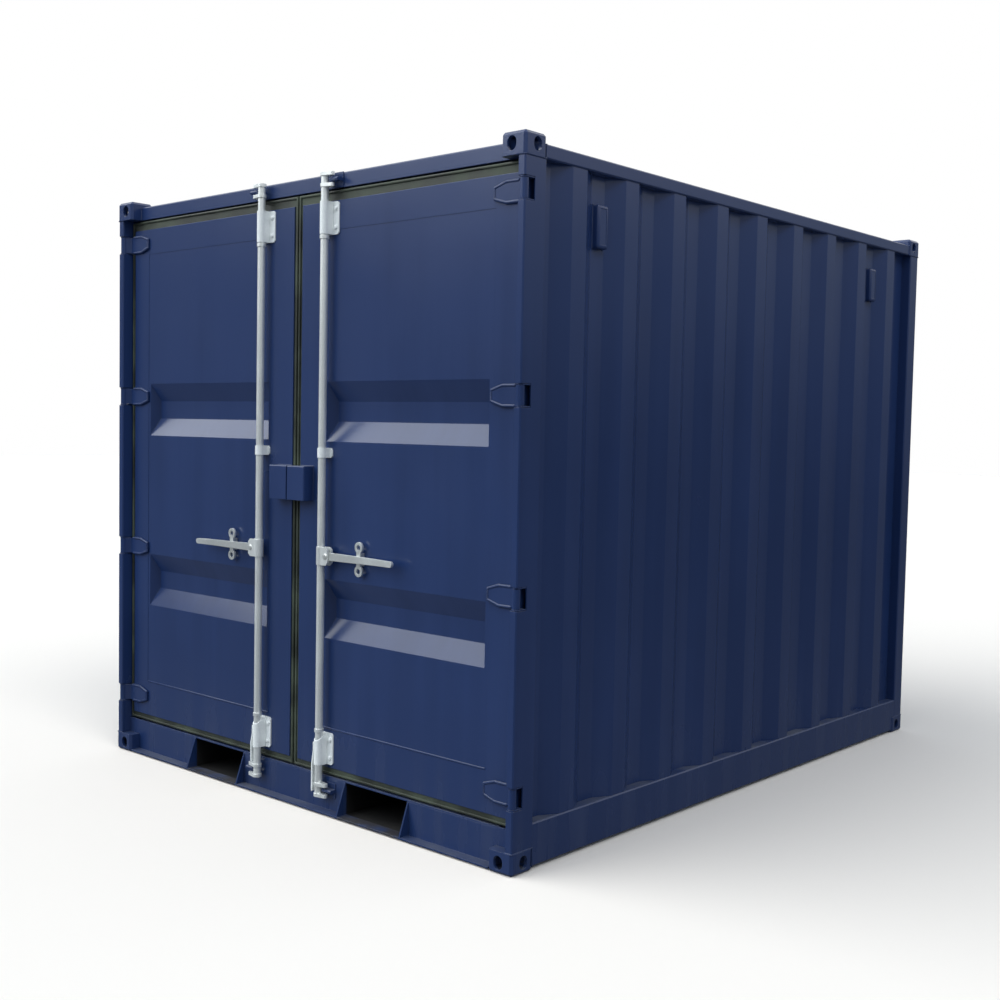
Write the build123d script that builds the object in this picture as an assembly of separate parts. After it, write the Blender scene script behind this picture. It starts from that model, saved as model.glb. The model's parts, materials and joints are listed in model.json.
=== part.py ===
"""Small steel storage container with double end doors, lock rods and fork pockets.

Millimetres, +Z up, origin on the ground at the middle of the footprint. The doors face -Y, and
right means +X, as seen from in front of the doors. A recess is a distance behind the front plane
of the corner castings. Left-hand pieces are mirror images of the right-hand ones.
"""

import os

from build123d import *

# Overall size over the corner castings
LENGTH = 2770.0
WIDTH = 2200.0
HEIGHT = 2260.0

# Corner castings
CASTING = 100.0
CASTING_HEIGHT = 72.0
CASTING_WALL = 12.0
CASTING_EDGE = 9.0
CASTING_EYE = (44.0, 36.0)
CASTING_EYE_BACK = 56.0
CASTING_SOCKET = (60.0, 40.0)

# Frame steel
FRAME_INSET = 3.0
PLATE = 5.0
SHEET = 2.0
TUBE_EDGE = 4.0
FRONT_POST_FACE = 30.0
FRONT_POST_STOP = 62.0
REAR_POST = 75.0
TOP_RAIL_DEPTH = 44.0
TOP_RAIL_WIDTH = 50.0
BOTTOM_RAIL_LIFT = 12.0
BOTTOM_RAIL_RISE = 19.0
HEADER_RECESS = 45.0
HEADER_DROP = 20.0
HEADER_STOP_DROP = 68.0
SILL_RECESS = 42.0
SILL_PLATE = 6.0
SILL_LIFT = 6.0

# Base and floor
BASE_TOP = 131.0
FLOOR_THICK = 24.0
POCKET_WIDTH = 310.0
POCKET_CENTRE = 445.0
POCKET_WALL = 6.0
BEARER_LIFT = 17.0
BEARER_FLANGE = 45.0
BEARER_STEEL = 4.0
BEARER_COUNT = 6

# Pressed walls and roof
WALL_INSET = 8.0
WALL_PITCH = 278.0
WALL_FLAT = 72.0
WALL_SLOPE = 68.0
WALL_DEPTH = 36.0
ROOF_PITCH = 214.0
ROOF_RIB_FLAT = 70.0
ROOF_RIB_SLOPE = 36.0
ROOF_RIB_HEIGHT = 18.0
ROOF_TOP_DROP = 4.0
VENT_WIDTH = 56.0
VENT_DEPTH = 25.0
VENT_HEIGHT = 140.0
VENT_DROP = 93.0
VENT_LIP = 30.0
VENT_STEEL = 4.0

# Door leaves
DOOR_RECESS = 46.0
DOOR_BACK_GAP = 6.0
DOOR_SIDE_GAP = 24.0
DOOR_MEETING_GAP = 46.0
DOOR_BOTTOM_GAP = 30.0
DOOR_TOP_GAP = 41.0
LOCK_STILE = 127.0
HINGE_STILE = 99.0
DOOR_TOP_RAIL = 100.0
DOOR_BOTTOM_RAIL = 140.0
DOOR_TUBE = 3.0
DOOR_SHEET = 3.0
PANEL_SET = 1.0
PRESSING_LOWS = (620.0, 1315.0)
PRESSING_FLAT = 70.0
PRESSING_SLOPE = 70.0
PRESSING_DEPTH = 36.0
PRESSING_MARGIN = 13.0
PRESSING_END = 22.0

# Gaskets
CLEARANCE = 5.5
GASKET_WEB = 5.0
GASKET_LIP = 4.0
GASKET_FRONT = 4.0
MEETING_CLEARANCE = 6.2

# Hinges
HINGE_COUNT = 4
HINGE_FROM_BOTTOM = 79.0
HINGE_FROM_TOP = 57.0
BLADE_HEIGHT = 62.0
BLADE_PLATE = 8.0
BLADE_REACH = 98.0
BLADE_TIP_HEIGHT = 34.0
BLADE_TAPER = 46.0
KNUCKLE_R = 13.0
HINGE_PIN_R = 7.0
RUN_CLEARANCE = 0.05
HINGE_ROOM = 5.5
HINGE_CUT_DEPTH = 50.0
LUG_THICK = 10.0

# Lock rods
ROD_X = 175.0
ROD_R = 13.5
ROD_HUB_WALL = 3.0
ROD_FRONT_GAP = 0.5
ROD_BELOW_SILL = 71.0
CAM_HEIGHT = 50.0
CAM_JAW = 12.0
CAM_REACH = 36.0
CAM_TIP_R = 9.0
COLLAR_HEIGHT = 12.0
COLLAR_GAP = 4.0
SLEEVE_WALL = 3.0
BRACKET_PLATE = 5.0
BRACKET_WIDTH = 92.0
BRACKET_CORNER = 7.0
BRACKET_SLANT = 26.0
GUIDE_WIDTH = 48.0
BRACKET_HEIGHT = 113.0
UPPER_BRACKET_GAP = 4.0
LOWER_BRACKET_GAP = 12.0
GUIDE_BRACKET = (1258.0, 1292.0)
STRAP_THICK = 5.0
STRAP_WIDTH = 18.0
STRAP_BOW = 8.0
STRAP_TOP_GAP = 34.0
STRAP_SEAT = 30.0
STRAP_RIGHT_LOW = 75.0
KEEPER_WIDTH = 44.0
KEEPER_LIP = 12.0
KEEPER_PLATE = 3.0
KEEPER_HEIGHT = 52.0
KEEPER_NOSE = 14.0
KEEPER_EDGE = 4.0

# Lock handles
HANDLE_Z = 915.0
HUB_HEIGHT = 64.0
HUB_THICK = 26.0
HUB_REACH = 48.0
HUB_EDGE = 10.0
PIVOT_REACH = 36.0
PIVOT_R = 5.0
HANDLE_THICK = 10.0
HANDLE_SIDE_GAP = 1.0
HANDLE_EYE_R = 14.0
HANDLE_TIP = 373.0
HANDLE_BEND = 265.0
HANDLE_KICK = 10.0
HANDLE_TIP_HEIGHT = 20.0

# Handle catches
CATCH_X = 357.0
CATCH_GAP = 6.0
CATCH_THICK = 8.0
CATCH_STEM = 20.0
CATCH_EYE_PITCH = 82.0
CATCH_EYE_R = 19.0
CATCH_EYE_BORE = 9.0
CATCH_BASE = 44.0

# Lock box, one half on each door
BOX_LEFT = 100.0
BOX_RIGHT = 95.0
BOX_LOW = 1103.0
BOX_HIGH = 1225.0
BOX_RECESS = 1.0
BOX_PLATE = 5.0
BOX_EDGE = 3.0
TONGUE_PLATE = 8.0
TONGUE_HEIGHT = 70.0
TONGUE_RECESS = 14.0
TONGUE_BORE = 8.0

# Places worked out from the sizes above
FRONT = -LENGTH / 2
BACK = LENGTH / 2
SIDE = WIDTH / 2
FRAME_SIDE = SIDE - FRAME_INSET
FRONT_FRAME_END = FRONT + CASTING
REAR_FRAME_END = BACK - FRAME_INSET - REAR_POST
TOP_FRAME_LOW = HEIGHT - CASTING_HEIGHT
TOP_RAIL_TOP = TOP_FRAME_LOW + TOP_RAIL_DEPTH
BOTTOM_RAIL_TOP = BASE_TOP + BOTTOM_RAIL_RISE
BOTTOM_RAIL_FLANGE = WALL_INSET + WALL_DEPTH + SHEET + 1
HEADER_TOP = HEIGHT - HEADER_DROP
POST_INNER = FRAME_SIDE - FRONT_POST_FACE
PIN_X = FRAME_SIDE - FRONT_POST_FACE / 2
PIN_RECESS = FRAME_INSET + FRONT_POST_FACE / 2
DOOR_INNER = DOOR_MEETING_GAP / 2
DOOR_OUTER = POST_INNER - DOOR_SIDE_GAP
DOOR_FACE = FRONT + DOOR_RECESS
DOOR_DEPTH = CASTING - PLATE - DOOR_BACK_GAP - DOOR_RECESS
DOOR_LOW = BASE_TOP + DOOR_BOTTOM_GAP
DOOR_HIGH = TOP_FRAME_LOW - DOOR_TOP_GAP
GASKET_LIP_PITCH = DOOR_DEPTH - 2 * GASKET_FRONT - GASKET_LIP
HUB_R = ROD_R + ROD_HUB_WALL
ROD_Y = FRONT + HUB_R + ROD_FRONT_GAP
SLEEVE_R = ROD_R + RUN_CLEARANCE + SLEEVE_WALL
ROD_LOW = BASE_TOP - ROD_BELOW_SILL
ROD_HIGH = HEADER_TOP
STRAP_LEFT_LOW = ROD_LOW + CAM_HEIGHT + CLEARANCE
PANEL_FACE = DOOR_FACE + PANEL_SET
UPPER_BRACKET = (DOOR_HIGH - UPPER_BRACKET_GAP - BRACKET_HEIGHT, DOOR_HIGH - UPPER_BRACKET_GAP)
LOWER_BRACKET = (DOOR_LOW + LOWER_BRACKET_GAP, DOOR_LOW + LOWER_BRACKET_GAP + BRACKET_HEIGHT)
CATCH_Y = ROD_Y + HANDLE_THICK / 2 + CATCH_GAP
SIDE_RIBS = int((REAR_FRAME_END - FRONT_FRAME_END) // WALL_PITCH)
BACK_RIBS = int(2 * (FRAME_SIDE - REAR_POST) // WALL_PITCH)
ROOF_RIBS = int((LENGTH - 2 * CASTING) // ROOF_PITCH)
POCKET_IN = POCKET_CENTRE - POCKET_WIDTH / 2
POCKET_OUT = POCKET_CENTRE + POCKET_WIDTH / 2
POCKET_FLOOR = SILL_LIFT + POCKET_WALL
POCKET_ROOF = BASE_TOP - POCKET_WALL
HINGE_LOW = DOOR_LOW + HINGE_FROM_BOTTOM
HINGE_PITCH = (DOOR_HIGH - HINGE_FROM_TOP - HINGE_LOW) / (HINGE_COUNT - 1)
HINGE_HEIGHTS = [HINGE_LOW + HINGE_PITCH * i for i in range(HINGE_COUNT)]
HINGE_CUT_HALF = BLADE_HEIGHT / 2 + HINGE_ROOM

X_WAY, Y_WAY, Z_WAY = (1, 0, 0), (0, 1, 0), (0, 0, 1)


def block(x, y, z):
    """A box between two values along each axis."""
    centre = Pos((x[0] + x[1]) / 2, (y[0] + y[1]) / 2, (z[0] + z[1]) / 2)
    return centre * Box(x[1] - x[0], y[1] - y[0], z[1] - z[0])


def in_plan(outline, z):
    """Raises a plan outline between two heights."""
    return extrude(Plane.XY.offset(z[0]) * outline, z[1] - z[0], dir=Z_WAY)


def along_x(outline, x):
    """Draws an outline of (y, z) points along X."""
    return extrude(Plane.YZ.offset(x[0]) * outline, x[1] - x[0], dir=X_WAY)


def along_y(outline, y):
    """Draws an outline of (x, z) points along Y."""
    return extrude(Plane.XZ.offset(-y[0]) * outline, y[1] - y[0], dir=Y_WAY)


def shape(*points):
    """A flat outline through the given points."""
    return Polygon(*points, align=None)


def mirrored(piece):
    """The left-hand copy of a right-hand piece."""
    return mirror(piece, about=Plane.YZ)


def four_corners(piece):
    """A front right piece with its copies at the other three corners."""
    front = [piece, mirrored(piece)]
    return front + [mirror(each, about=Plane.XZ) for each in front]


def corner_casting():
    """Top casting at the front right: a hollow block with an eye in each outer face."""
    x, y, z = (SIDE - CASTING, SIDE), (FRONT, FRONT + CASTING), (TOP_FRAME_LOW, HEIGHT)
    upright, outer = block(x, y, z).edges().group_by(Axis.Z)[1:]
    body = chamfer(upright + outer, CASTING_EDGE)
    wall = CASTING_WALL
    hollow = block((x[0] + wall, x[1] - wall), (y[0] + wall, y[1] - wall), (z[0] + wall, z[1] - wall))
    eye_z = (z[0] + z[1]) / 2
    eye = SlotOverall(*CASTING_EYE, rotation=90)
    front_eye = along_y(Pos(SIDE - CASTING_EYE_BACK, eye_z) * eye, (y[0], y[0] + CASTING / 2))
    side_eye = along_x(Pos(FRONT + CASTING_EYE_BACK, eye_z) * eye, (x[1] - CASTING / 2, x[1]))
    socket = Pos((x[0] + x[1]) / 2, (y[0] + y[1]) / 2) * SlotOverall(*CASTING_SOCKET)
    return body - hollow - front_eye - side_eye - in_plan(socket, (z[0] + wall, z[1]))


def front_post():
    """Right door post: a tube cut away at the hinges, and the plate beside it that stops the door."""
    x, y = (POST_INNER, FRAME_SIDE), (FRONT + FRAME_INSET, FRONT_FRAME_END)
    z = (CASTING_HEIGHT, TOP_FRAME_LOW)
    post = chamfer(block(x, y, z).edges().filter_by(Axis.Z).group_by(Axis.Y)[0], TUBE_EDGE)
    post -= block((x[0] + PLATE, x[1] - PLATE), (y[0] + PLATE, y[1] - PLATE), z)
    for height in HINGE_HEIGHTS:
        reach = (height - HINGE_CUT_HALF, height + HINGE_CUT_HALF)
        post -= block(x, (y[0], FRONT + HINGE_CUT_DEPTH), reach)
    return [post, block((x[0] - FRONT_POST_STOP, x[0]), (y[1] - PLATE, y[1]), z)]


def hinge_pins():
    """Right-hand hinge pins, each welded between two plates inside the door post."""
    x = (POST_INNER + PLATE, FRAME_SIDE - PLATE)
    y = (FRONT + FRAME_INSET + PLATE, FRONT + HINGE_CUT_DEPTH)
    outline = Pos(PIN_X, FRONT + PIN_RECESS) * Circle(HINGE_PIN_R)
    pins = []
    for height in HINGE_HEIGHTS:
        pin = in_plan(outline, (height - HINGE_CUT_HALF, height + HINGE_CUT_HALF))
        for low in (height - HINGE_CUT_HALF - LUG_THICK, height + HINGE_CUT_HALF):
            pin += block(x, y, (low, low + LUG_THICK))
        pins.append(pin)
    return pins


def rear_post():
    """Right rear post: a square tube."""
    x, y = (FRAME_SIDE - REAR_POST, FRAME_SIDE), (REAR_FRAME_END, BACK - FRAME_INSET)
    z = (CASTING_HEIGHT, TOP_FRAME_LOW)
    post = chamfer(block(x, y, z).edges().filter_by(Axis.Z), TUBE_EDGE)
    return post - block((x[0] + PLATE, x[1] - PLATE), (y[0] + PLATE, y[1] - PLATE), z)


def door_header():
    """Tube over the doors, and the plate under it that stops the leaves."""
    x, y = (CASTING - SIDE, SIDE - CASTING), (FRONT + HEADER_RECESS, FRONT_FRAME_END)
    z = (TOP_FRAME_LOW, HEADER_TOP)
    beam = chamfer(block(x, y, z).edges().filter_by(Axis.X).group_by(Axis.Z)[-1], TUBE_EDGE)
    beam -= block(x, (y[0] + PLATE, y[1] - PLATE), (z[0] + PLATE, z[1] - PLATE))
    stop_end = POST_INNER - FRONT_POST_STOP
    return [beam, block((-stop_end, stop_end), (y[1] - PLATE, y[1]), (z[0] - HEADER_STOP_DROP, z[0]))]


def between_pockets(half, wall=0.0):
    """The three runs along X beside and between the fork pockets, short of them by a wall."""
    inner, outer = POCKET_IN - wall, POCKET_OUT + wall
    return ((-half, -outer), (-inner, inner), (outer, half))


def door_sill():
    """Welded beam under the doors: bottom plate, webs, top plate, floor edge and pocket gussets."""
    half, steel = SIDE - CASTING, SILL_PLATE
    ledge, web, end = FRONT + FRAME_INSET, FRONT + SILL_RECESS, FRONT_FRAME_END
    z = (SILL_LIFT + steel, BASE_TOP - steel)
    sill = [
        block((-half, half), (ledge, web + steel), (SILL_LIFT, z[0])),
        block((-half, half), (web, end), (z[1], BASE_TOP)),
        block((-half, half), (end - PLATE, end), (BASE_TOP, BASE_TOP + FLOOR_THICK)),
    ]
    sill += [block(run, (web, web + steel), z) for run in between_pockets(half)]
    ear = block((half, POST_INNER), (web, web + steel), (CASTING_HEIGHT, BASE_TOP))
    gusset = shape((web, z[0]), (web, z[1]), (ledge, z[0]))
    gussets = [along_x(gusset, (edge, edge + steel)) for edge in (POCKET_IN - steel, POCKET_OUT)]
    return sill + both([ear] + gussets)


def rear_header():
    """Hollow beam over the back wall."""
    x, y = (CASTING - SIDE, SIDE - CASTING), (BACK - CASTING, BACK - FRAME_INSET)
    z = (TOP_FRAME_LOW, TOP_RAIL_TOP)
    return block(x, y, z) - block(x, (y[0] + PLATE, y[1] - PLATE), (z[0] + PLATE, z[1] - PLATE))


def rear_sill():
    """Welded channel under the back wall, open at the fork pockets and stopped at the castings."""
    half, wide = SIDE - CASTING, FRAME_SIDE - REAR_POST
    y0, y1 = REAR_FRAME_END, BACK - FRAME_INSET
    z0, z1 = BOTTOM_RAIL_LIFT, BOTTOM_RAIL_TOP
    web = (y1 - PLATE, y1)
    sill = [
        block((-wide, wide), (y0, y1), (z1 - PLATE, z1)),
        block((-wide, wide), web, (POCKET_ROOF, z1 - PLATE)),
    ]
    sill += [block(run, web, (z0, POCKET_ROOF)) for run in between_pockets(half)]
    sill += [block(run, (y0, web[0]), (z0, z0 + PLATE)) for run in between_pockets(half, POCKET_WALL)]
    return sill + both([block((half, wide), web, (CASTING_HEIGHT, POCKET_ROOF))])


def top_rail():
    """Right top rail: a tube between the castings."""
    x, y = (FRAME_SIDE - TOP_RAIL_WIDTH, FRAME_SIDE), (FRONT_FRAME_END, BACK - CASTING)
    z = (TOP_FRAME_LOW, TOP_RAIL_TOP)
    rail = chamfer(block(x, y, z).edges().filter_by(Axis.Y), TUBE_EDGE)
    return rail - block((x[0] + PLATE, x[1] - PLATE), y, (z[0] + PLATE, z[1] - PLATE))


def bottom_rail():
    """Right bottom rail: a channel with its web outwards, coped over the rear casting."""
    x0, x1 = FRAME_SIDE - BOTTOM_RAIL_FLANGE, FRAME_SIDE
    z0, z1 = BOTTOM_RAIL_LIFT, BOTTOM_RAIL_TOP
    section = shape(
        (x1, z0), (x1, z1), (x0, z1), (x0, z1 - PLATE), (x1 - PLATE, z1 - PLATE),
        (x1 - PLATE, z0 + PLATE), (x0, z0 + PLATE), (x0, z0)
    )
    section = chamfer(section.vertices().group_by(Axis.X)[-1], TUBE_EDGE)
    rail = along_y(section, (FRONT_FRAME_END, REAR_FRAME_END))
    return rail - block((x0, x1), (BACK - CASTING, REAR_FRAME_END), (z0, CASTING_HEIGHT))


def ribbed_outline(ribs, half, pitch=WALL_PITCH, flat=WALL_FLAT, slope=WALL_SLOPE, depth=WALL_DEPTH):
    """Section of a pressed sheet: trapezoid ribs along u, standing from v = -depth up to v = 0."""
    top = [(-half[0], -depth)]
    for i in range(ribs):
        centre = pitch * (i - (ribs - 1) / 2)
        foot, crest = flat / 2 + slope, flat / 2
        top += [(centre - foot, -depth), (centre - crest, 0), (centre + crest, 0), (centre + foot, -depth)]
    top.append((half[1], -depth))
    return top + [(u, v - SHEET) for u, v in reversed(top)]


def side_wall():
    """Right side wall: one sheet with upright ribs, between the posts and the rails."""
    section = ribbed_outline(SIDE_RIBS, (-FRONT_FRAME_END, REAR_FRAME_END))
    outline = shape(*[(SIDE - WALL_INSET + v, u) for u, v in section])
    return in_plan(outline, (BOTTOM_RAIL_TOP, TOP_FRAME_LOW))


def back_wall():
    """Back wall: one sheet with upright ribs, between the rear posts."""
    half = FRAME_SIDE - REAR_POST
    section = ribbed_outline(BACK_RIBS, (half, half))
    outline = shape(*[(u, BACK - WALL_INSET + v) for u, v in section])
    return in_plan(outline, (BOTTOM_RAIL_TOP, TOP_FRAME_LOW))


def roof_panel():
    """Roof sheet with cross ribs, between the top rails and the two headers."""
    half = LENGTH / 2 - CASTING
    pitch = 2 * half / ROOF_RIBS
    rib = (ROOF_RIB_FLAT, ROOF_RIB_SLOPE, ROOF_RIB_HEIGHT)
    section = ribbed_outline(ROOF_RIBS, (half, half), pitch, *rib)
    edge = FRAME_SIDE - TOP_RAIL_WIDTH
    top = TOP_RAIL_TOP - ROOF_TOP_DROP
    return along_x(shape(*[(u, top + v) for u, v in section]), (-edge, edge))


def floor_deck():
    """Floor between the bottom rails, from the sill's floor edge to the rear sill."""
    half = FRAME_SIDE - BOTTOM_RAIL_FLANGE
    return block((-half, half), (FRONT_FRAME_END, REAR_FRAME_END), (BASE_TOP, BASE_TOP + FLOOR_THICK))


def fork_pockets():
    """Two welded tunnels from the door sill to the rear sill."""
    y0, y1, y2 = FRONT + SILL_RECESS + SILL_PLATE, FRONT_FRAME_END, BACK - FRAME_INSET - PLATE
    wall = POCKET_WALL
    x = (POCKET_IN - wall, POCKET_OUT + wall)
    tunnel = [
        block(x, (y0, y2), (POCKET_FLOOR - wall, POCKET_FLOOR)),
        block(x, (y1, y2), (POCKET_ROOF, POCKET_ROOF + wall)),
        block((x[0], POCKET_IN), (y0, y2), (POCKET_FLOOR, POCKET_ROOF)),
        block((POCKET_OUT, x[1]), (y0, y2), (POCKET_FLOOR, POCKET_ROOF)),
    ]
    return both(tunnel)


def floor_bearers():
    """Cross channels under the floor, in three runs between the rails and the tunnels."""
    z0, z1 = BOTTOM_RAIL_LIFT + PLATE + BEARER_LIFT, BASE_TOP
    steel, flange = BEARER_STEEL, BEARER_FLANGE
    tunnel_in, tunnel_out = POCKET_IN - POCKET_WALL, POCKET_OUT + POCKET_WALL
    web = FRAME_SIDE - PLATE
    pitch = (REAR_FRAME_END - FRONT_FRAME_END) / BEARER_COUNT
    bearers = []
    for i in range(BEARER_COUNT):
        y = FRONT_FRAME_END + pitch * (i + 0.5) - flange / 2
        section = shape(
            (y, z0), (y + flange, z0), (y + flange, z0 + steel), (y + steel, z0 + steel),
            (y + steel, z1 - steel), (y + flange, z1 - steel), (y + flange, z1), (y, z1)
        )
        for run in ((-web, -tunnel_out), (-tunnel_in, tunnel_in), (tunnel_out, web)):
            bearers.append(along_x(section, run))
    return bearers


def vent_hoods():
    """Right-hand vent hoods, on the sheet between ribs near both ends: open at the bottom."""
    x0 = SIDE - WALL_INSET - WALL_DEPTH
    x1 = x0 + VENT_DEPTH
    high = TOP_FRAME_LOW - VENT_DROP
    low = high - VENT_HEIGHT
    steel = VENT_STEEL
    profile = shape((x0, high), ((x0 + x1) / 2, high), (x1, high - VENT_LIP), (x1, low), (x0, low))
    room = offset(profile, -steel, kind=Kind.INTERSECTION)
    x = (x0 + steel, x1 - steel)
    room += shape((x[0], low), (x[1], low), (x[1], low + VENT_LIP), (x[0], low + VENT_LIP))
    centre = WALL_PITCH * (SIDE_RIBS / 2 - 1)
    hoods = []
    for y in (-centre, centre):
        edges = (y - VENT_WIDTH / 2, y + VENT_WIDTH / 2)
        hoods.append(along_y(profile, edges) - along_y(room, (edges[0] + steel, edges[1] - steel)))
    return hoods


def door_frame():
    """Right leaf's frame: two upright tubes with two cross tubes between them."""
    y, wall = (DOOR_FACE, DOOR_FACE + DOOR_DEPTH), DOOR_TUBE
    wide, tall = panel_width(), panel_height()
    bore_y = (y[0] + wall, y[1] - wall)
    bars = []
    for x in ((DOOR_INNER, wide[0]), (wide[1], DOOR_OUTER)):
        z = (DOOR_LOW, DOOR_HIGH)
        bars.append(block(x, y, z) - block((x[0] + wall, x[1] - wall), bore_y, z))
    for z in ((DOOR_LOW, tall[0]), (tall[1], DOOR_HIGH)):
        bars.append(block(wide, y, z) - block(wide, bore_y, (z[0] + wall, z[1] - wall)))
    return bars


def panel_width():
    """Opening of the right leaf's frame along X."""
    return (DOOR_INNER + LOCK_STILE, DOOR_OUTER - HINGE_STILE)


def panel_height():
    """Opening of a leaf's frame along Z."""
    return (DOOR_LOW + DOOR_BOTTOM_RAIL, DOOR_HIGH - DOOR_TOP_RAIL)


def pressing(low, face):
    """One trapezoid pressing as a solid, with its wide face at y = face."""
    inner, outer = panel_width()
    x = (inner + PRESSING_MARGIN, outer - PRESSING_MARGIN)
    high = low + 2 * PRESSING_SLOPE + PRESSING_FLAT
    bed = face + PRESSING_DEPTH
    section = shape((face, low), (face, high), (bed, high - PRESSING_SLOPE), (bed, low + PRESSING_SLOPE))
    plan = shape((x[0], face), (x[1], face), (x[1] - PRESSING_END, bed), (x[0] + PRESSING_END, bed))
    return along_x(section, x) & in_plan(plan, (low, high))


def door_panel():
    """Right leaf's sheet, set a little behind its frame, with two pressings pushed back into it."""
    sheet = block(panel_width(), (PANEL_FACE, PANEL_FACE + DOOR_SHEET), panel_height())
    for low in PRESSING_LOWS:
        sheet += pressing(low, PANEL_FACE + DOOR_SHEET)
    for low in PRESSING_LOWS:
        sheet -= pressing(low, PANEL_FACE)
    return sheet


def seal_section(root, tip):
    """Section of a rubber strip: a band at u = root with two lips that reach to u = tip."""
    band = root + GASKET_WEB * (1 if tip > root else -1)
    y0 = DOOR_FACE + GASKET_FRONT
    y1 = y0 + GASKET_LIP_PITCH
    lip = GASKET_LIP
    return [
        (root, y0), (tip, y0), (tip, y0 + lip), (band, y0 + lip),
        (band, y1), (tip, y1), (tip, y1 + lip), (root, y1 + lip)
    ]


def door_gasket():
    """Right leaf's rubber seal: a lipped strip along each edge, the upright ones past the corners."""
    x = (MEETING_CLEARANCE / 2, POST_INNER - CLEARANCE)
    z = (BASE_TOP + CLEARANCE, TOP_FRAME_LOW - CLEARANCE)
    strips = []
    for root, tip in ((DOOR_INNER, x[0]), (DOOR_OUTER, x[1])):
        strips.append(in_plan(shape(*seal_section(root, tip)), z))
    for root, tip in ((DOOR_LOW, z[0]), (DOOR_HIGH, z[1])):
        outline = shape(*[(y, u) for u, y in seal_section(root, tip)])
        strips.append(along_x(outline, (DOOR_INNER, DOOR_OUTER)))
    return strips


def hinge_blades():
    """Right leaf's hinge blades: a tapered plate on the leaf, cranked forward to a knuckle round the pin."""
    pin = Pos(PIN_X, FRONT + PIN_RECESS)
    plate_front = DOOR_RECESS - BLADE_PLATE - PIN_RECESS
    plate_back = DOOR_RECESS - PIN_RECESS
    crank = DOOR_SIDE_GAP
    end = PIN_X - DOOR_OUTER + BLADE_REACH
    blade = pin * shape(
        (-KNUCKLE_R, 0), (-crank, plate_front), (-end, plate_front), (-end, plate_back), (-crank, plate_back),
        (0, KNUCKLE_R)
    )
    half, tip_half = BLADE_HEIGHT / 2, BLADE_TIP_HEIGHT / 2
    tip, depth = DOOR_OUTER - BLADE_REACH, (DOOR_FACE - BLADE_PLATE, DOOR_FACE)
    blades = []
    for height in HINGE_HEIGHTS:
        z = (height - half, height + half)
        solid = in_plan(blade, z) + in_plan(pin * Circle(KNUCKLE_R), z)
        for edge, end in ((half, tip_half), (-half, -tip_half)):
            corner = shape((tip, height + end), (tip, height + edge), (tip + BLADE_TAPER, height + edge))
            solid -= along_y(corner, depth)
        blades.append(solid - in_plan(pin * Circle(HINGE_PIN_R + RUN_CLEARANCE), z))
    return blades


def rod_bracket(width, z, face):
    """A bracket on the right leaf: base plate on the given face, saddle and bore for the lock rod."""
    axis = Pos(ROD_X, ROD_Y)
    base = face - BRACKET_PLATE
    saddle = axis * Circle(SLEEVE_R) + Pos(ROD_X, (ROD_Y + base) / 2) * Rectangle(2 * SLEEVE_R, base - ROD_Y)
    plate = chamfer(Rectangle(width, z[1] - z[0]).vertices(), BRACKET_CORNER)
    plate = along_y(Pos(ROD_X, (z[0] + z[1]) / 2) * plate, (base, face))
    return in_plan(saddle - axis * Circle(ROD_R + RUN_CLEARANCE), z) + plate


def guard_strap(way, low):
    """Strap beside the lower bracket: seated on the saddle's flank, then bowed out and down past the rod."""
    high = LOWER_BRACKET[1] - STRAP_TOP_GAP
    seat = high - STRAP_SEAT
    inner = [(0, high), (0, seat), (STRAP_BOW, (2 * seat + low) / 3), (STRAP_BOW, low)]
    outer = [(u + STRAP_THICK, z) for u, z in reversed(inner)]
    outline = shape(*[(ROD_X + way * (SLEEVE_R + u), z) for u, z in inner + outer])
    return along_y(outline, (ROD_Y - STRAP_WIDTH / 2, ROD_Y + STRAP_WIDTH / 2))


def rod_brackets():
    """Right leaf's three brackets for the lock rod: the lowest one's saddle falls away to the front."""
    lower = rod_bracket(BRACKET_WIDTH, LOWER_BRACKET, DOOR_FACE)
    top, front = LOWER_BRACKET[1], ROD_Y - SLEEVE_R
    wedge = shape((front, top), (front, top - BRACKET_SLANT), (DOOR_FACE - BRACKET_PLATE, top))
    lower -= along_x(wedge, (ROD_X - SLEEVE_R, ROD_X + SLEEVE_R))
    guide = rod_bracket(GUIDE_WIDTH, GUIDE_BRACKET, PANEL_FACE)
    return [lower, guide, rod_bracket(BRACKET_WIDTH, UPPER_BRACKET, DOOR_FACE)]


def cam(z):
    """Cam forged onto a rod's end: a stub with a jaw above and below the keeper's lip."""
    jaw = Circle(HUB_R) + Pos(CAM_REACH, 0) * Circle(CAM_TIP_R)
    jaw += shape((0, -HUB_R), (CAM_REACH, -CAM_TIP_R), (CAM_REACH, CAM_TIP_R), (0, HUB_R))
    axis = Pos(ROD_X, ROD_Y)
    forged = in_plan(axis * Circle(ROD_R), z)
    for low in (z[0], z[1] - CAM_JAW):
        forged += in_plan(axis * jaw, (low, low + CAM_JAW))
    return forged


def handle_room():
    """Y reach of the slot that the handle turns in."""
    half = HANDLE_THICK / 2 + HANDLE_SIDE_GAP
    return (ROD_Y - half, ROD_Y + half)


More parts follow.
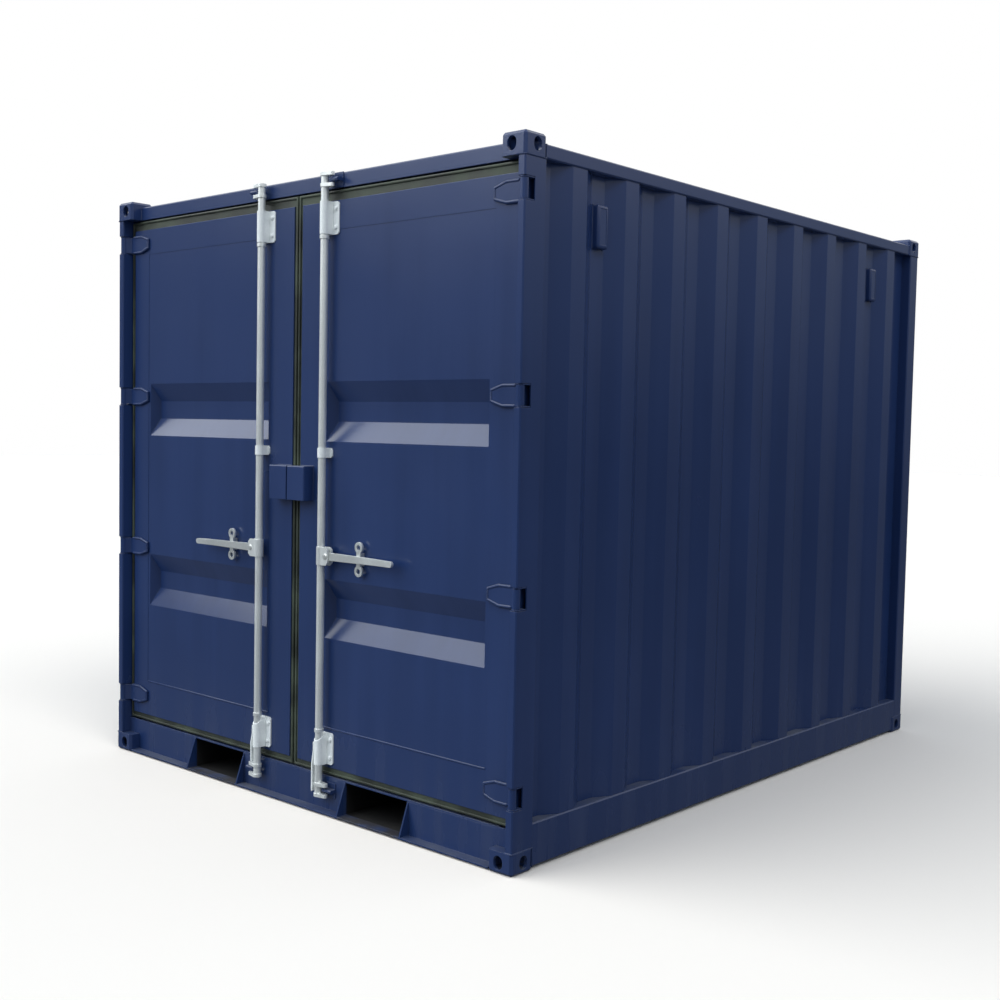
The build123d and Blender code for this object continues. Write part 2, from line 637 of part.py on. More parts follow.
def lock_rod():
    """Right lock rod with its collars and forked handle hub, between two cams."""
    axis = Pos(ROD_X, ROD_Y)
    ends = (ROD_LOW + CAM_HEIGHT, ROD_HIGH - CAM_HEIGHT)
    rod = in_plan(axis * Circle(ROD_R), ends)
    for low in (LOWER_BRACKET[1] + COLLAR_GAP, UPPER_BRACKET[0] - COLLAR_GAP - COLLAR_HEIGHT):
        rod += in_plan(axis * Circle(HUB_R), (low, low + COLLAR_HEIGHT))
    z = (HANDLE_Z - HUB_HEIGHT / 2, HANDLE_Z + HUB_HEIGHT / 2)
    thick = (ROD_Y - HUB_THICK / 2, ROD_Y + HUB_THICK / 2)
    fork = block((ROD_X, ROD_X + HUB_REACH), thick, z)
    fork = chamfer(fork.edges().filter_by(Axis.Y).group_by(Axis.X)[-1], HUB_EDGE)
    fork -= block((ROD_X + HUB_R, ROD_X + HUB_REACH), handle_room(), z)
    rod += [in_plan(axis * Circle(HUB_R), z), fork]
    rod += along_y(Pos(ROD_X + PIVOT_REACH, HANDLE_Z) * Circle(PIVOT_R), thick)
    return [rod, cam((ROD_LOW, ends[0])), cam((ends[1], ROD_HIGH))]


def lock_handle():
    """Right lock handle: an eye on the pivot and a bar that kicks out from the door at its end."""
    half = HANDLE_THICK / 2
    x0 = ROD_X + PIVOT_REACH
    bend, tip = ROD_X + HANDLE_BEND, ROD_X + HANDLE_TIP
    plan = shape(
        (x0 - HANDLE_EYE_R, ROD_Y - half), (bend, ROD_Y - half), (tip, ROD_Y - half - HANDLE_KICK),
        (tip, ROD_Y + half - HANDLE_KICK), (bend, ROD_Y + half), (x0 - HANDLE_EYE_R, ROD_Y + half)
    )
    front = Pos(x0, HANDLE_Z) * Circle(HANDLE_EYE_R)
    tip_half = HANDLE_TIP_HEIGHT / 2
    front += shape(
        (x0, HANDLE_Z - HANDLE_EYE_R), (tip - tip_half, HANDLE_Z - tip_half),
        (tip - tip_half, HANDLE_Z + tip_half), (x0, HANDLE_Z + HANDLE_EYE_R)
    )
    front += Pos(tip - tip_half, HANDLE_Z) * Circle(tip_half)
    front -= Pos(x0, HANDLE_Z) * Circle(PIVOT_R + RUN_CLEARANCE)
    reach = (ROD_Y - half - HANDLE_KICK, ROD_Y + half)
    return in_plan(plan, (HANDLE_Z - HANDLE_EYE_R, HANDLE_Z + HANDLE_EYE_R)) & along_y(front, reach)


def handle_catch():
    """Right leaf's handle catch: an upright bar with an eye at each end, on a short post."""
    y = (CATCH_Y, CATCH_Y + CATCH_THICK)
    half = CATCH_EYE_PITCH / 2
    stem = Pos(CATCH_X, HANDLE_Z) * Rectangle(CATCH_STEM, CATCH_EYE_PITCH)
    for z in (HANDLE_Z - half, HANDLE_Z + half):
        stem += Pos(CATCH_X, z) * Circle(CATCH_EYE_R)
    for z in (HANDLE_Z - half, HANDLE_Z + half):
        stem -= Pos(CATCH_X, z) * Circle(CATCH_EYE_BORE)
    base = Pos(CATCH_X, HANDLE_Z) * Rectangle(CATCH_STEM, CATCH_BASE)
    return along_y(stem, y) + along_y(base, (y[1], PANEL_FACE))


def lock_box_half(outer):
    """Half of the lock box on the right leaf: front, side and top plates, open below."""
    inner = MEETING_CLEARANCE / 2
    x, y, z = (inner, outer), (FRONT + BOX_RECESS, DOOR_FACE), (BOX_LOW, BOX_HIGH)
    front = block(x, y, z).edges().group_by(Axis.Y)[0]
    outer_edge = front.filter_by(Axis.Z).sort_by(Axis.X)[-1]
    top_edge = front.filter_by(Axis.X).sort_by(Axis.Z)[-1]
    body = chamfer([outer_edge, top_edge], BOX_EDGE)
    room = block((inner, outer - BOX_PLATE), (y[0] + BOX_PLATE, y[1]), (z[0], z[1] - BOX_PLATE))
    return body - room - block((inner, DOOR_INNER), (y[1] - BOX_PLATE, y[1]), z)


def lock_tongue():
    """Bored padlock tongue inside the right half of the lock box."""
    x = (DOOR_INNER, DOOR_INNER + TONGUE_PLATE)
    z_mid = (BOX_LOW + BOX_HIGH) / 2
    y = (FRONT + TONGUE_RECESS, DOOR_FACE)
    tongue = block(x, y, (z_mid - TONGUE_HEIGHT / 2, z_mid + TONGUE_HEIGHT / 2))
    bore = Pos((y[0] + y[1]) / 2, z_mid) * Circle(TONGUE_BORE)
    return tongue - along_x(bore, x)


def cam_keepers():
    """Right-hand keepers on the sill and the header: a lip between each cam's jaws, on a plate."""
    x0 = ROD_X + HUB_R + CLEARANCE
    x = (x0, x0 + KEEPER_WIDTH)
    places = ((ROD_LOW, FRONT + SILL_RECESS), (ROD_HIGH - CAM_HEIGHT, FRONT + HEADER_RECESS))
    keepers = []
    for cam_low, wall in places:
        z = cam_low + CAM_HEIGHT / 2
        base = wall - KEEPER_PLATE
        lip = block(x, (FRONT + KEEPER_NOSE, base), (z - KEEPER_LIP / 2, z + KEEPER_LIP / 2))
        keepers.append(chamfer(lip.edges().filter_by(Axis.X).group_by(Axis.Y)[0], KEEPER_EDGE))
        keepers.append(block(x, (base, wall), (z - KEEPER_HEIGHT / 2, z + KEEPER_HEIGHT / 2)))
    return keepers


def both(pieces):
    """Pieces on the right with their left-hand copies."""
    return list(pieces) + [mirrored(piece) for piece in pieces]


def save(node, *pieces):
    """Writes one node's solids."""
    whole = pieces[0] if len(pieces) == 1 else Compound(children=list(pieces))
    export_step(whole, f"parts/{node}.step")


def save_pair(node, piece):
    """Writes a right-hand node and its left-hand copy."""
    pieces = piece if isinstance(piece, list) else [piece]
    save(f"{node}_right", *pieces)
    save(f"{node}_left", *[mirrored(each) for each in pieces])


os.makedirs("parts", exist_ok=True)

top_castings = four_corners(corner_casting())
save("corner_castings_top", *top_castings)
ground_up = Plane.XY.offset(HEIGHT / 2)
save("corner_castings_bottom", *[mirror(each, about=ground_up) for each in top_castings])
save_pair("front_post", front_post())
save_pair("rear_post", rear_post())
save("door_header", *door_header())
save("door_sill", *door_sill())
save("rear_header", rear_header())
save("rear_sill", *rear_sill())
save_pair("top_rail", top_rail())
save_pair("bottom_rail", bottom_rail())
save_pair("side_wall", side_wall())
save("back_wall", back_wall())
save("roof_panel", roof_panel())
save("floor_deck", floor_deck())
save("floor_bearers", *floor_bearers())
save("fork_pockets", *fork_pockets())
save("vent_hoods", *both(vent_hoods()))
save("hinge_pins", *both(hinge_pins()))
save("cam_keepers", *both(cam_keepers()))
save_pair("door_frame", door_frame())
save_pair("door_panel", door_panel())
save_pair("door_gasket", door_gasket())
save_pair("hinge_blades", hinge_blades())
save("rod_brackets_right", *rod_brackets(), guard_strap(-1, STRAP_RIGHT_LOW))
save("rod_brackets_left", *map(mirrored, rod_brackets() + [guard_strap(1, STRAP_LEFT_LOW)]))
save_pair("handle_catch", handle_catch())
save("lock_box_right", lock_box_half(BOX_RIGHT))
save("lock_box_left", mirrored(lock_box_half(BOX_LEFT)))
save_pair("lock_tongue", lock_tongue())
save_pair("lock_rod", lock_rod())
save_pair("lock_handle", lock_handle())
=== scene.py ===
# %% [markdown]
# # A small steel container in navy paint
# The CAD model already has every plate, hinge and lock rod at its real size. This lesson dresses it: a
# camera first, then one finish for each material, then the small things that a workshop adds last, such as
# seals, bolts and weld beads, and the light at the end. Units are metres, the doors face -Y, and the ground
# is at Z = 0.

# %% Load the frame
import json
import math

import bpy
from mathutils import Euler, Matrix, Vector


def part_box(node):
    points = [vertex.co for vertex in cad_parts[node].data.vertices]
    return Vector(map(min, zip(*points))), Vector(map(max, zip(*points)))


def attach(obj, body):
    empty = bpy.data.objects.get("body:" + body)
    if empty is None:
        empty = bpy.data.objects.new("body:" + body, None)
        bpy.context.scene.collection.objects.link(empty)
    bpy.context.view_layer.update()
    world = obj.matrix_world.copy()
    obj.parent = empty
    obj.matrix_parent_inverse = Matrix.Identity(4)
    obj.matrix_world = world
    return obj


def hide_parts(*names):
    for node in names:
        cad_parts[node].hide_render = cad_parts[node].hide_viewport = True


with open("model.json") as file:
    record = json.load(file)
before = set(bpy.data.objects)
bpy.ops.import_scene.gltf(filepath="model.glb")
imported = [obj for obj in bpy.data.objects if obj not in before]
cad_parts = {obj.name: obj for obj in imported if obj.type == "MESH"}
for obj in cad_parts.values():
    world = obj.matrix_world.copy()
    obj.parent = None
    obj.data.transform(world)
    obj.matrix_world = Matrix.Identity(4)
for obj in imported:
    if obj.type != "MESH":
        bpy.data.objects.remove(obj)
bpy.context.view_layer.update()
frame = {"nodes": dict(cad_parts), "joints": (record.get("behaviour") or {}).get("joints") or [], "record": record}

# %% [markdown]
# ## The camera
# The eye stands off the front right corner, about at chest height, and looks a little down. The angles were
# fitted to the corners of the container, so straight edges fall where they do in the reference. The lens is
# given by the focal length as a share of the picture's width, which holds for any picture size.

# %% Stand the camera
EYE = Vector((3.5905, -4.2711, 1.3787))
TURN, DOWN, ROLL = (math.radians(angle) for angle in (41.636, 3.305, 1.111))
SENSOR_WIDTH = 36.0
FOCAL_SHARE = 1.27195

camera_data = bpy.data.cameras.new("camera")
camera = bpy.data.objects.new("camera", camera_data)
bpy.context.scene.collection.objects.link(camera)
camera_data.sensor_width = SENSOR_WIDTH
camera_data.lens = SENSOR_WIDTH * FOCAL_SHARE
aim = Euler((math.pi / 2 - DOWN, 0, TURN)).to_matrix() @ Matrix.Rotation(ROLL, 3, "Z")
camera.matrix_world = Matrix.Translation(EYE) @ aim.to_4x4()
bpy.context.scene.camera = camera
bpy.context.scene.view_settings.view_transform = "Standard"
print("lens", round(camera_data.lens, 2), "mm, eye", tuple(EYE))

# %% [markdown]
# ## Shader maths as sums
# A material is a web of nodes, and wiring each one by hand hides the idea. The class below wraps one
# socket. A sum or product of two sockets adds a Math node by itself, and `node` adds any other kind: first
# its settings, then the values or links of its inputs. Colours are blended with a Mix node, because a Math
# node would turn them grey.

# %% Wrap a socket


class Wire:
    """One socket of a node tree. Arithmetic adds Math nodes, node() adds any other."""

    def __init__(self, tree, socket=None):
        self.tree = tree
        self.socket = socket

    def node(self, kind, settings=None, inputs=None, output=0):
        made = self.tree.nodes.new(kind)
        for name, value in (settings or {}).items():
            setattr(made, name, value)
        for name, value in (inputs or {}).items():
            self.feed(made.inputs[name], value)
        return Wire(self.tree, made.outputs[output])

    def feed(self, socket, value):
        if isinstance(value, Wire):
            self.tree.links.new(value.socket, socket)
        else:
            socket.default_value = value

    def maths(self, operation, first, second):
        return self.node("ShaderNodeMath", {"operation": operation}, {0: first, 1: second})

    def __add__(self, other):
        return self.maths("ADD", self, other)

    def __radd__(self, other):
        return self.maths("ADD", other, self)

    def __sub__(self, other):
        return self.maths("SUBTRACT", self, other)

    def __rsub__(self, other):
        return self.maths("SUBTRACT", other, self)

    def __mul__(self, other):
        return self.maths("MULTIPLY", self, other)

    def __rmul__(self, other):
        return self.maths("MULTIPLY", other, self)

    def __mod__(self, other):
        return self.maths("FLOORED_MODULO", self, other)

    def __rmod__(self, other):
        return self.maths("FLOORED_MODULO", other, self)

    def __abs__(self):
        return self.maths("ABSOLUTE", self, 0.0)


print("Wire ready: + - * % and abs add Math nodes")

# %% [markdown]
# A few short helpers cover most of what the finishes need: where a point is, which way its surface faces,
# cloudy noise, a soft step between two values, a blend of two colours, and a bump. Patterns read Object
# coordinates, so they are tied to the steel and move with a door.

# %% Name the usual nodes


def place(wire, stretch=(1, 1, 1)):
    """The point's own coordinates, in metres, stretched along each axis."""
    point = wire.node("ShaderNodeTexCoord", output="Object")
    return wire.node("ShaderNodeMapping", {}, {"Vector": point, "Scale": stretch})


def component(vector, axis):
    """One number of a vector: its X, Y or Z."""
    return vector.node("ShaderNodeSeparateXYZ", {}, {"Vector": vector}, output=axis)


def flat_normal(wire):
    """The way the surface faces before any bump."""
    return wire.node("ShaderNodeNewGeometry", output="Normal")


def rounded_normal(wire, radius):
    """The normal of the surface with its sharp edges rounded."""
    return wire.node("ShaderNodeBevel", {"samples": 4}, {"Radius": radius})


def noise(wire, scale, detail, stretch=(1, 1, 1)):
    """Cloudy noise around 0.5, with about `scale` clouds in a metre."""
    inputs = {"Vector": place(wire, stretch), "Scale": scale, "Detail": detail}
    return wire.node("ShaderNodeTexNoise", {}, inputs)


def soft_step(value, low, high):
    """0 below low, 1 above high, smooth between them."""
    ends = {"Value": value, "From Min": low, "From Max": high}
    return value.node("ShaderNodeMapRange", {"interpolation_type": "SMOOTHSTEP"}, ends)


def blend(mask, first, second):
    """The first colour where the mask is 0, the second where it is 1."""
    return mask.node("ShaderNodeMix", {"data_type": "RGBA"}, {0: mask, 6: first, 7: second}, output=2)


def bump(height, distance, normal):
    """A bumped normal: height 1 stands `distance` metres above height 0."""
    inputs = {"Height": height, "Distance": distance, "Normal": normal}
    return height.node("ShaderNodeBump", {}, inputs, output="Normal")


def colour(red, green, blue):
    """A colour with full alpha."""
    return (red, green, blue, 1.0)


def new_finish(name):
    """An empty material, its main shader and a wire to start from."""
    material = bpy.data.materials.new(name)
    material.use_nodes = True
    return material, material.node_tree.nodes["Principled BSDF"], Wire(material.node_tree)


print("shader helpers ready")

# %% [markdown]
# ## Navy marine paint
# Containers are sprayed with a thick satin paint. Close up it has a fine orange peel; from afar the colour
# is cloudy and a little paler where rain has run. Towards the top it is painted paler with height: painted
# light that stands in for the brighter light and sky reflection up there. Dust lies low down; faces that
# look up get dust and also a painted sheen of the sky. Edges wear first: a Bevel node gives the normal of a
# slightly rounded edge, which catches the light as a real folded sheet does, and where it turns away from
# the flat normal there is an edge to wear; there the paint is made lighter, partly as wear and partly as a
# painted edge highlight. Pressed sheets also bulge a little between their welds, and cast corners are
# grainy. The orange peel is kept very shallow: a steep one would smear every reflection and turn the navy
# grey. At the mouths of the fork pockets the lower ledge is darkened: partly scrapes from the tines of lift
# trucks, with dirt filling them, and partly painted shade from the dark pocket above.

# %% Mix the navy paint
NAVY_DEEP = colour(0.0125, 0.0310, 0.1050)
NAVY_PALE = colour(0.0180, 0.0400, 0.1280)
# Lighter navy for edges: worn paint and a painted edge highlight.
NAVY_WORN_AND_LIT = colour(0.0550, 0.0850, 0.1750)
# Pale grey of dust, also used as a painted sheen of the sky on faces that look up.
DUST_AND_SHEEN = colour(0.1300, 0.1350, 0.1450)
# Dark brown for the ledge under the fork pockets: scrapes with dirt, and painted shade of the pocket above.
SCRAPED_AND_SHADED = colour(0.0430, 0.0390, 0.0350)
EDGE_WEAR_AND_HIGHLIGHT, LOW_DUST, TOP_DUST_AND_SHEEN, SCRAPES_AND_SHADE = 0.55, 0.10, 0.50, 0.85
# Painted light: above the middle height the navy is made paler, standing in for brighter light and sky reflection
# near the top.
PAINTED_TOP_LIGHT, PAINTED_TOP_LIGHT_MIDDLE = 0.15, 1.10
GLOSS, GLOSS_VARIES, DUST_ROUGHENS = 0.20, 0.10, 0.8
EDGE_ROUND, PEEL = 0.0025, 0.00003
SPLASH_LOW, SPLASH_HIGH = 0.02, 0.45
POCKET_X, POCKET_HALF = 0.445, 0.155
SCRAPE_INSIDE, SCRAPE_OUTSIDE = 0.012, 0.004
LEDGE_LOW, LEDGE_HIGH = 0.016, 0.040


def pocket_scrapes_and_shade(wire, height):
    """1 on the ledge under the mouth of a fork pocket: tine scrapes with dirt, and painted shade of the pocket."""
    off_middle = abs(abs(component(place(wire), "X")) - POCKET_X)
    mouth = 1 - soft_step(off_middle, POCKET_HALF - SCRAPE_INSIDE, POCKET_HALF + SCRAPE_OUTSIDE)
    ledge = mouth * (1 - soft_step(height, LEDGE_LOW, LEDGE_HIGH))
    return ledge * soft_step(noise(wire, scale=18.0, detail=5.0), 0.25, 0.60)


def navy_paint(name, bulge=0.0, grain=0.0, scraped_and_shaded=False):
    """Satin marine paint on steel: bulge is a pressed sheet's waviness, grain a casting's, both in metres."""
    material, shader, wire = new_finish(name)
    cloud = noise(wire, scale=1.1, detail=3.0)
    streak = noise(wire, scale=1.0, detail=3.0, stretch=(11, 11, 0.7))
    drift = noise(wire, scale=1.0, detail=6.0, stretch=(2.2, 8.0, 6.0))
    rounded, flat = rounded_normal(wire, EDGE_ROUND), flat_normal(wire)
    facing = {0: rounded, 1: flat}
    turned = wire.node("ShaderNodeVectorMath", {"operation": "DOT_PRODUCT"}, facing, output="Value")
    # Lighter colour along edges: partly wear, partly a painted edge highlight.
    edge = soft_step(1 - turned, 0.01, 0.25) * soft_step(noise(wire, scale=14.0, detail=4.0), 0.35, 0.75)
    height, upward = component(place(wire), "Z"), component(flat, "Z")
    low_dust = (1 - soft_step(height, SPLASH_LOW, SPLASH_HIGH)) * soft_step(streak, 0.40, 0.75) * LOW_DUST
    # Faces that look up are made paler: partly dust, partly a painted sheen of the sky.
    top_dust_and_sheen = soft_step(upward, 0.55, 0.98) * soft_step(drift, 0.28, 0.70) * TOP_DUST_AND_SHEEN
    dust = low_dust + top_dust_and_sheen
    # painted light: the colour grows paler with height
    painted_top_light = (height - PAINTED_TOP_LIGHT_MIDDLE) * PAINTED_TOP_LIGHT
    coat = blend(soft_step(cloud * 0.6 + streak * 0.4 + painted_top_light, 0.36, 0.64), NAVY_DEEP, NAVY_PALE)
    # dust low down, and dust with a painted sheen on faces that look up
    coat = blend(dust, coat, DUST_AND_SHEEN)
    # darkens the ledge under the pocket mouths: scrapes and painted shade
    if scraped_and_shaded:
        coat = blend(pocket_scrapes_and_shade(wire, height) * SCRAPES_AND_SHADE, coat, SCRAPED_AND_SHADED)
    wire.feed(shader.inputs["Base Color"], blend(edge * EDGE_WEAR_AND_HIGHLIGHT, coat, NAVY_WORN_AND_LIT))
    varied = GLOSS + noise(wire, scale=3.0, detail=4.0) * GLOSS_VARIES
    wire.feed(shader.inputs["Roughness"], varied + dust * DUST_ROUGHENS)
    normal = rounded
    if bulge:
        normal = bump(noise(wire, scale=2.1, detail=1.0), bulge, normal)
    if grain:
        normal = bump(noise(wire, scale=160.0, detail=3.0), grain, normal)
    wire.feed(shader.inputs["Normal"], bump(noise(wire, scale=420.0, detail=2.0), PEEL, normal))
    return material


sheet_paint = navy_paint("navy_paint_on_sheet", bulge=0.006)
frame_paint = navy_paint("navy_paint_on_frame", bulge=0.0015)
casting_paint = navy_paint("navy_paint_on_casting", grain=0.0004)
sill_paint = navy_paint("navy_paint_on_sill", bulge=0.0015, scraped_and_shaded=True)
print("navy paints:", [paint.name for paint in (sheet_paint, frame_paint, casting_paint, sill_paint)])

# %% [markdown]
# ## Bitumen under the floor
# Floor bearers and fork pockets are dipped or brushed with matt black bitumen, because road spray would eat
# paint there. It goes on thick and uneven, so a broad bump gives the brush marks, and dry dust sits in
# patches. Its near-black colour is also painted shade: it stands in for the deep shade inside the fork pockets.

# %% Brush on the bitumen
# Near-black: the colour of the coat, and also painted shade for the inside of the fork pockets.
BITUMEN_AND_SHADE = colour(0.003, 0.003, 0.0035)
BITUMEN_DUSTY = colour(0.013, 0.013, 0.0125)
BRUSH_MARKS = 0.0006


def bitumen_coat(name):
    """Thick matt black coat with brush marks and a little dust; its black also paints the shade inside the fork
    pockets.
    """
    material, shader, wire = new_finish(name)
    brushed = noise(wire, scale=1.0, detail=4.0, stretch=(14, 90, 90))
    dust = soft_step(noise(wire, scale=4.0, detail=5.0), 0.50, 0.80) * 0.5
    wire.feed(shader.inputs["Base Color"], blend(dust, BITUMEN_AND_SHADE, BITUMEN_DUSTY))
    wire.feed(shader.inputs["Roughness"], 0.62 + dust * 0.3)
    wire.feed(shader.inputs["Normal"], bump(brushed, BRUSH_MARKS, flat_normal(wire)))
    return material


bitumen_and_shade = bitumen_coat("bitumen_coat")
print("bitumen ready:", bitumen_and_shade.name)

# %% [markdown]
# ## Galvanised steel
# The lock gear was dipped in molten zinc. Zinc freezes in crystals a few millimetres wide, so each small
# patch reflects a little differently. A Voronoi texture gives one random tone per crystal, and a broad
# noise adds the chalky bloom that zinc gets outdoors. Hands rub the handles smooth, so they mirror their
# surroundings; the rods are duller, and the bracket plates so chalky that they stay pale from every side.

# %% Freeze the zinc
ZINC_BRIGHT = colour(0.88, 0.90, 0.88)
ZINC_DULL = colour(0.64, 0.67, 0.66)
ZINC_ROUND, ZINC_GRAIN = 0.0015, 0.00003
CRYSTALS_PER_METRE = 150.0


def galvanised(name, metal, rough, chalk):
    """Hot-dip galvanised steel: how metallic and rough it is, and how much chalky bloom lies on it."""
    material, shader, wire = new_finish(name)
    pattern = {"Vector": place(wire), "Scale": CRYSTALS_PER_METRE}
    crystals = wire.node("ShaderNodeTexVoronoi", {}, pattern, output="Color")
    spangle = wire.node("ShaderNodeSeparateColor", {}, {"Color": crystals}, output="Red")
    bloom = soft_step(noise(wire, scale=9.0, detail=5.0), 0.42, 0.68) * chalk
    rounded = rounded_normal(wire, ZINC_ROUND)
    wire.feed(shader.inputs["Base Color"], blend(spangle * 0.18 + bloom * 0.30, ZINC_BRIGHT, ZINC_DULL))
    wire.feed(shader.inputs["Metallic"], metal - bloom * 0.20)
    wire.feed(shader.inputs["Roughness"], rough + spangle * 0.06 + bloom * 0.14)
    wire.feed(shader.inputs["Normal"], bump(noise(wire, scale=260.0, detail=3.0), ZINC_GRAIN, rounded))
    return material


handle_zinc = galvanised("galvanised_handle", metal=0.78, rough=0.28, chalk=0.5)
rod_zinc = galvanised("galvanised_rod", metal=0.60, rough=0.34, chalk=0.5)
plate_zinc = galvanised("galvanised_plate", metal=0.10, rough=0.48, chalk=0.2)
print("zinc ready:", handle_zinc.name, rod_zinc.name, plate_zinc.name)

# %% [markdown]
# ## Rubber and plywood
# The door seals are extruded black rubber with an olive cast, dusty where the lip is out in the weather.
# The floor is dark brown film-faced plywood: boards run across the container, with a thin filled joint
# between them, the wood's grain along them, and paler scuffs down the middle where loads have slid.

# %% Make the seal and the floor
RUBBER = colour(0.018, 0.023, 0.016)
RUBBER_DUSTY = colour(0.060, 0.077, 0.050)
RUBBER_GRAIN = 0.0001
WOOD_DARK = colour(0.105, 0.050, 0.026)
WOOD_PALE = colour(0.190, 0.100, 0.055)
WOOD_SCUFFED = colour(0.300, 0.210, 0.140)
JOINT_FILLER = colour(0.020, 0.016, 0.013)
BOARD, JOINT, JOINT_DEEP = 0.30, 0.005, 0.001


def seal_rubber(name):
    """Weathered black rubber."""
    material, shader, wire = new_finish(name)
    dust = soft_step(noise(wire, scale=7.0, detail=5.0), 0.38, 0.70)
    wire.feed(shader.inputs["Base Color"], blend(dust, RUBBER, RUBBER_DUSTY))
    wire.feed(shader.inputs["Roughness"], 0.46 + dust * 0.25)
    grain = noise(wire, scale=300.0, detail=2.0)
    wire.feed(shader.inputs["Normal"], bump(grain, RUBBER_GRAIN, flat_normal(wire)))
    return material


def floor_plywood(name):
    """Film-faced plywood boards with filled joints and scuffs."""
    material, shader, wire = new_finish(name)
    along = component(place(wire), "Y")
    joint = 1 - soft_step(along % BOARD, JOINT / 2, JOINT)
    grain = noise(wire, scale=1.0, detail=6.0, stretch=(3, 90, 90))
    scuff = soft_step(noise(wire, scale=1.0, detail=6.0, stretch=(24, 2.5, 2.5)), 0.56, 0.72)
    board = blend(soft_step(grain, 0.3, 0.7), WOOD_DARK, WOOD_PALE)
    board = blend(scuff * 0.35, board, WOOD_SCUFFED)
    wire.feed(shader.inputs["Base Color"], blend(joint, board, JOINT_FILLER))
    wire.feed(shader.inputs["Roughness"], 0.42 + scuff * 0.25)
    wire.feed(shader.inputs["Normal"], bump(grain * 0.3 - joint, JOINT_DEEP, flat_normal(wire)))
    return material


rubber = seal_rubber("seal_rubber")
plywood = floor_plywood("floor_plywood")
print("rubber and plywood ready:", rubber.name, plywood.name)

# %% [markdown]
# ## Every node gets its finish
# The record names a material slot for each piece, so the choice of finish follows it. Navy paint is split
# further: pressed sheets bulge, castings are grainy, sills carry scrapes and painted shade, and the rest is plain
# frame steel.
# Zinc is split into handles, rods and chalky plates.

# %% Assign the finishes
SLOT_FINISH = {
    "navy_paint": frame_paint, "zinc": rod_zinc, "gasket": rubber, "plywood": plywood, "underseal": bitumen_and_shade,
}
NODE_FINISH = {
    sheet_paint: (
        "side_wall_left", "side_wall_right", "back_wall", "roof_panel", "door_panel_left", "door_panel_right",
    ),
    casting_paint: ("corner_castings_top", "corner_castings_bottom"),
    sill_paint: ("door_sill", "rear_sill"),
    plate_zinc: ("rod_brackets_left", "rod_brackets_right"),
    handle_zinc: ("lock_handle_left", "lock_handle_right", "handle_catch_left", "handle_catch_right"),
}
finish_of = {name: finish for finish, names in NODE_FINISH.items() for name in names}

for part in frame["record"]["subparts"]:
    for slot in frame["nodes"][part["node"]].material_slots:
        slot.material = finish_of.get(part["node"], SLOT_FINISH[part["material_slot"]])

# %% [markdown]
# ## A bench to model on
# Each added piece is modelled as by hand: a primitive is set down, some of its faces or edges are picked by
# where they are or look, and they are pushed, inset or bevelled. Operators act on whatever is selected, so
# the bench is cleared first. What repeats is modelled once; every copy gets a mesh of its own and the
# copies on one body are joined. Last the piece is handed over: its place goes into its mesh, and it is told
# which body carries it.

# %% Set up the bench
SIDES = (("left", -1), ("right", 1))
SMOOTH_BELOW = math.radians(40)


def clear_bench():
    """Deselects everything, so that the next operator works on the next piece alone."""
    bpy.ops.object.select_all(action="DESELECT")


def settle():
    """Puts the active piece's place, turn and size into its mesh."""
    bpy.ops.object.transform_apply(location=True, rotation=True, scale=True)


def own_copy(model, spot):
    """A copy with its own mesh, put where the matrix says and selected."""
    copy = model.copy()
    copy.data = model.data.copy()
    copy.matrix_world = spot
    bpy.context.scene.collection.objects.link(copy)
    copy.select_set(True)
    return copy


def joined(pieces):
    """One object made of all the pieces."""
    clear_bench()
    for piece in pieces:
        piece.select_set(True)
    bpy.context.view_layer.objects.active = pieces[0]
    bpy.ops.object.join()
    return pieces[0]


def copies(model, spots):
    """One object made of a copy of the model at each spot."""
    return joined([own_copy(model, spot) for spot in spots])


def hand_over(piece, name, body, finish):
    """Puts the place into the mesh, names the piece, paints it and lets it ride on its body."""
    clear_bench()
    piece.select_set(True)
    bpy.context.view_layer.objects.active = piece
    settle()
    bpy.ops.object.shade_smooth_by_angle(angle=SMOOTH_BELOW)
    piece.name = piece.data.name = name
    piece.data.materials.clear()
    piece.data.materials.append(finish)
    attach(piece, body)
    print(name, "rides", body, "with", len(piece.data.polygons), "faces")


def put_away(model):
    """Removes a model once its copies are made."""
    bpy.data.objects.remove(model, do_unlink=True)


print("bench ready")

# %% [markdown]
# The tools on the bench are few: a bar to start from, a way to pick faces or edges, a push that extrudes
# what is picked, and a Bevel modifier that rounds every sharp edge at once.

# %% Lay out the tools


def bar(size, middle):
    """A bar of that size with its middle at that point."""
    clear_bench()
    bpy.ops.mesh.primitive_cube_add(size=1, location=middle)
    made = bpy.context.object
    made.scale = size
    settle()
    return made


def pick_nothing(edges=False, faces=False):
    """Says whether edges or faces are to be picked, and starts with none of them."""
    bpy.context.tool_settings.mesh_select_mode = (False, edges, faces)
    bpy.ops.object.mode_set(mode="EDIT")
    bpy.ops.mesh.select_all(action="DESELECT")
    bpy.ops.object.mode_set(mode="OBJECT")


def pick_faces(piece, wanted):
    """Goes into edit mode with only the wanted faces selected."""
    pick_nothing(faces=True)
    for face in piece.data.polygons:
        face.select = wanted(face)
    bpy.ops.object.mode_set(mode="EDIT")


def pick_edges(piece, wanted):
    """Goes into edit mode with only the wanted edges selected, each judged by its two end points."""
    pick_nothing(edges=True)
    points = piece.data.vertices
    for edge in piece.data.edges:
        edge.select = wanted(*(points[i].co for i in edge.vertices))
    bpy.ops.object.mode_set(mode="EDIT")


def push(x, y, z):
    """Extrudes the picked faces by that much."""
    bpy.ops.mesh.extrude_region_move(TRANSFORM_OT_translate={"value": (x, y, z)})


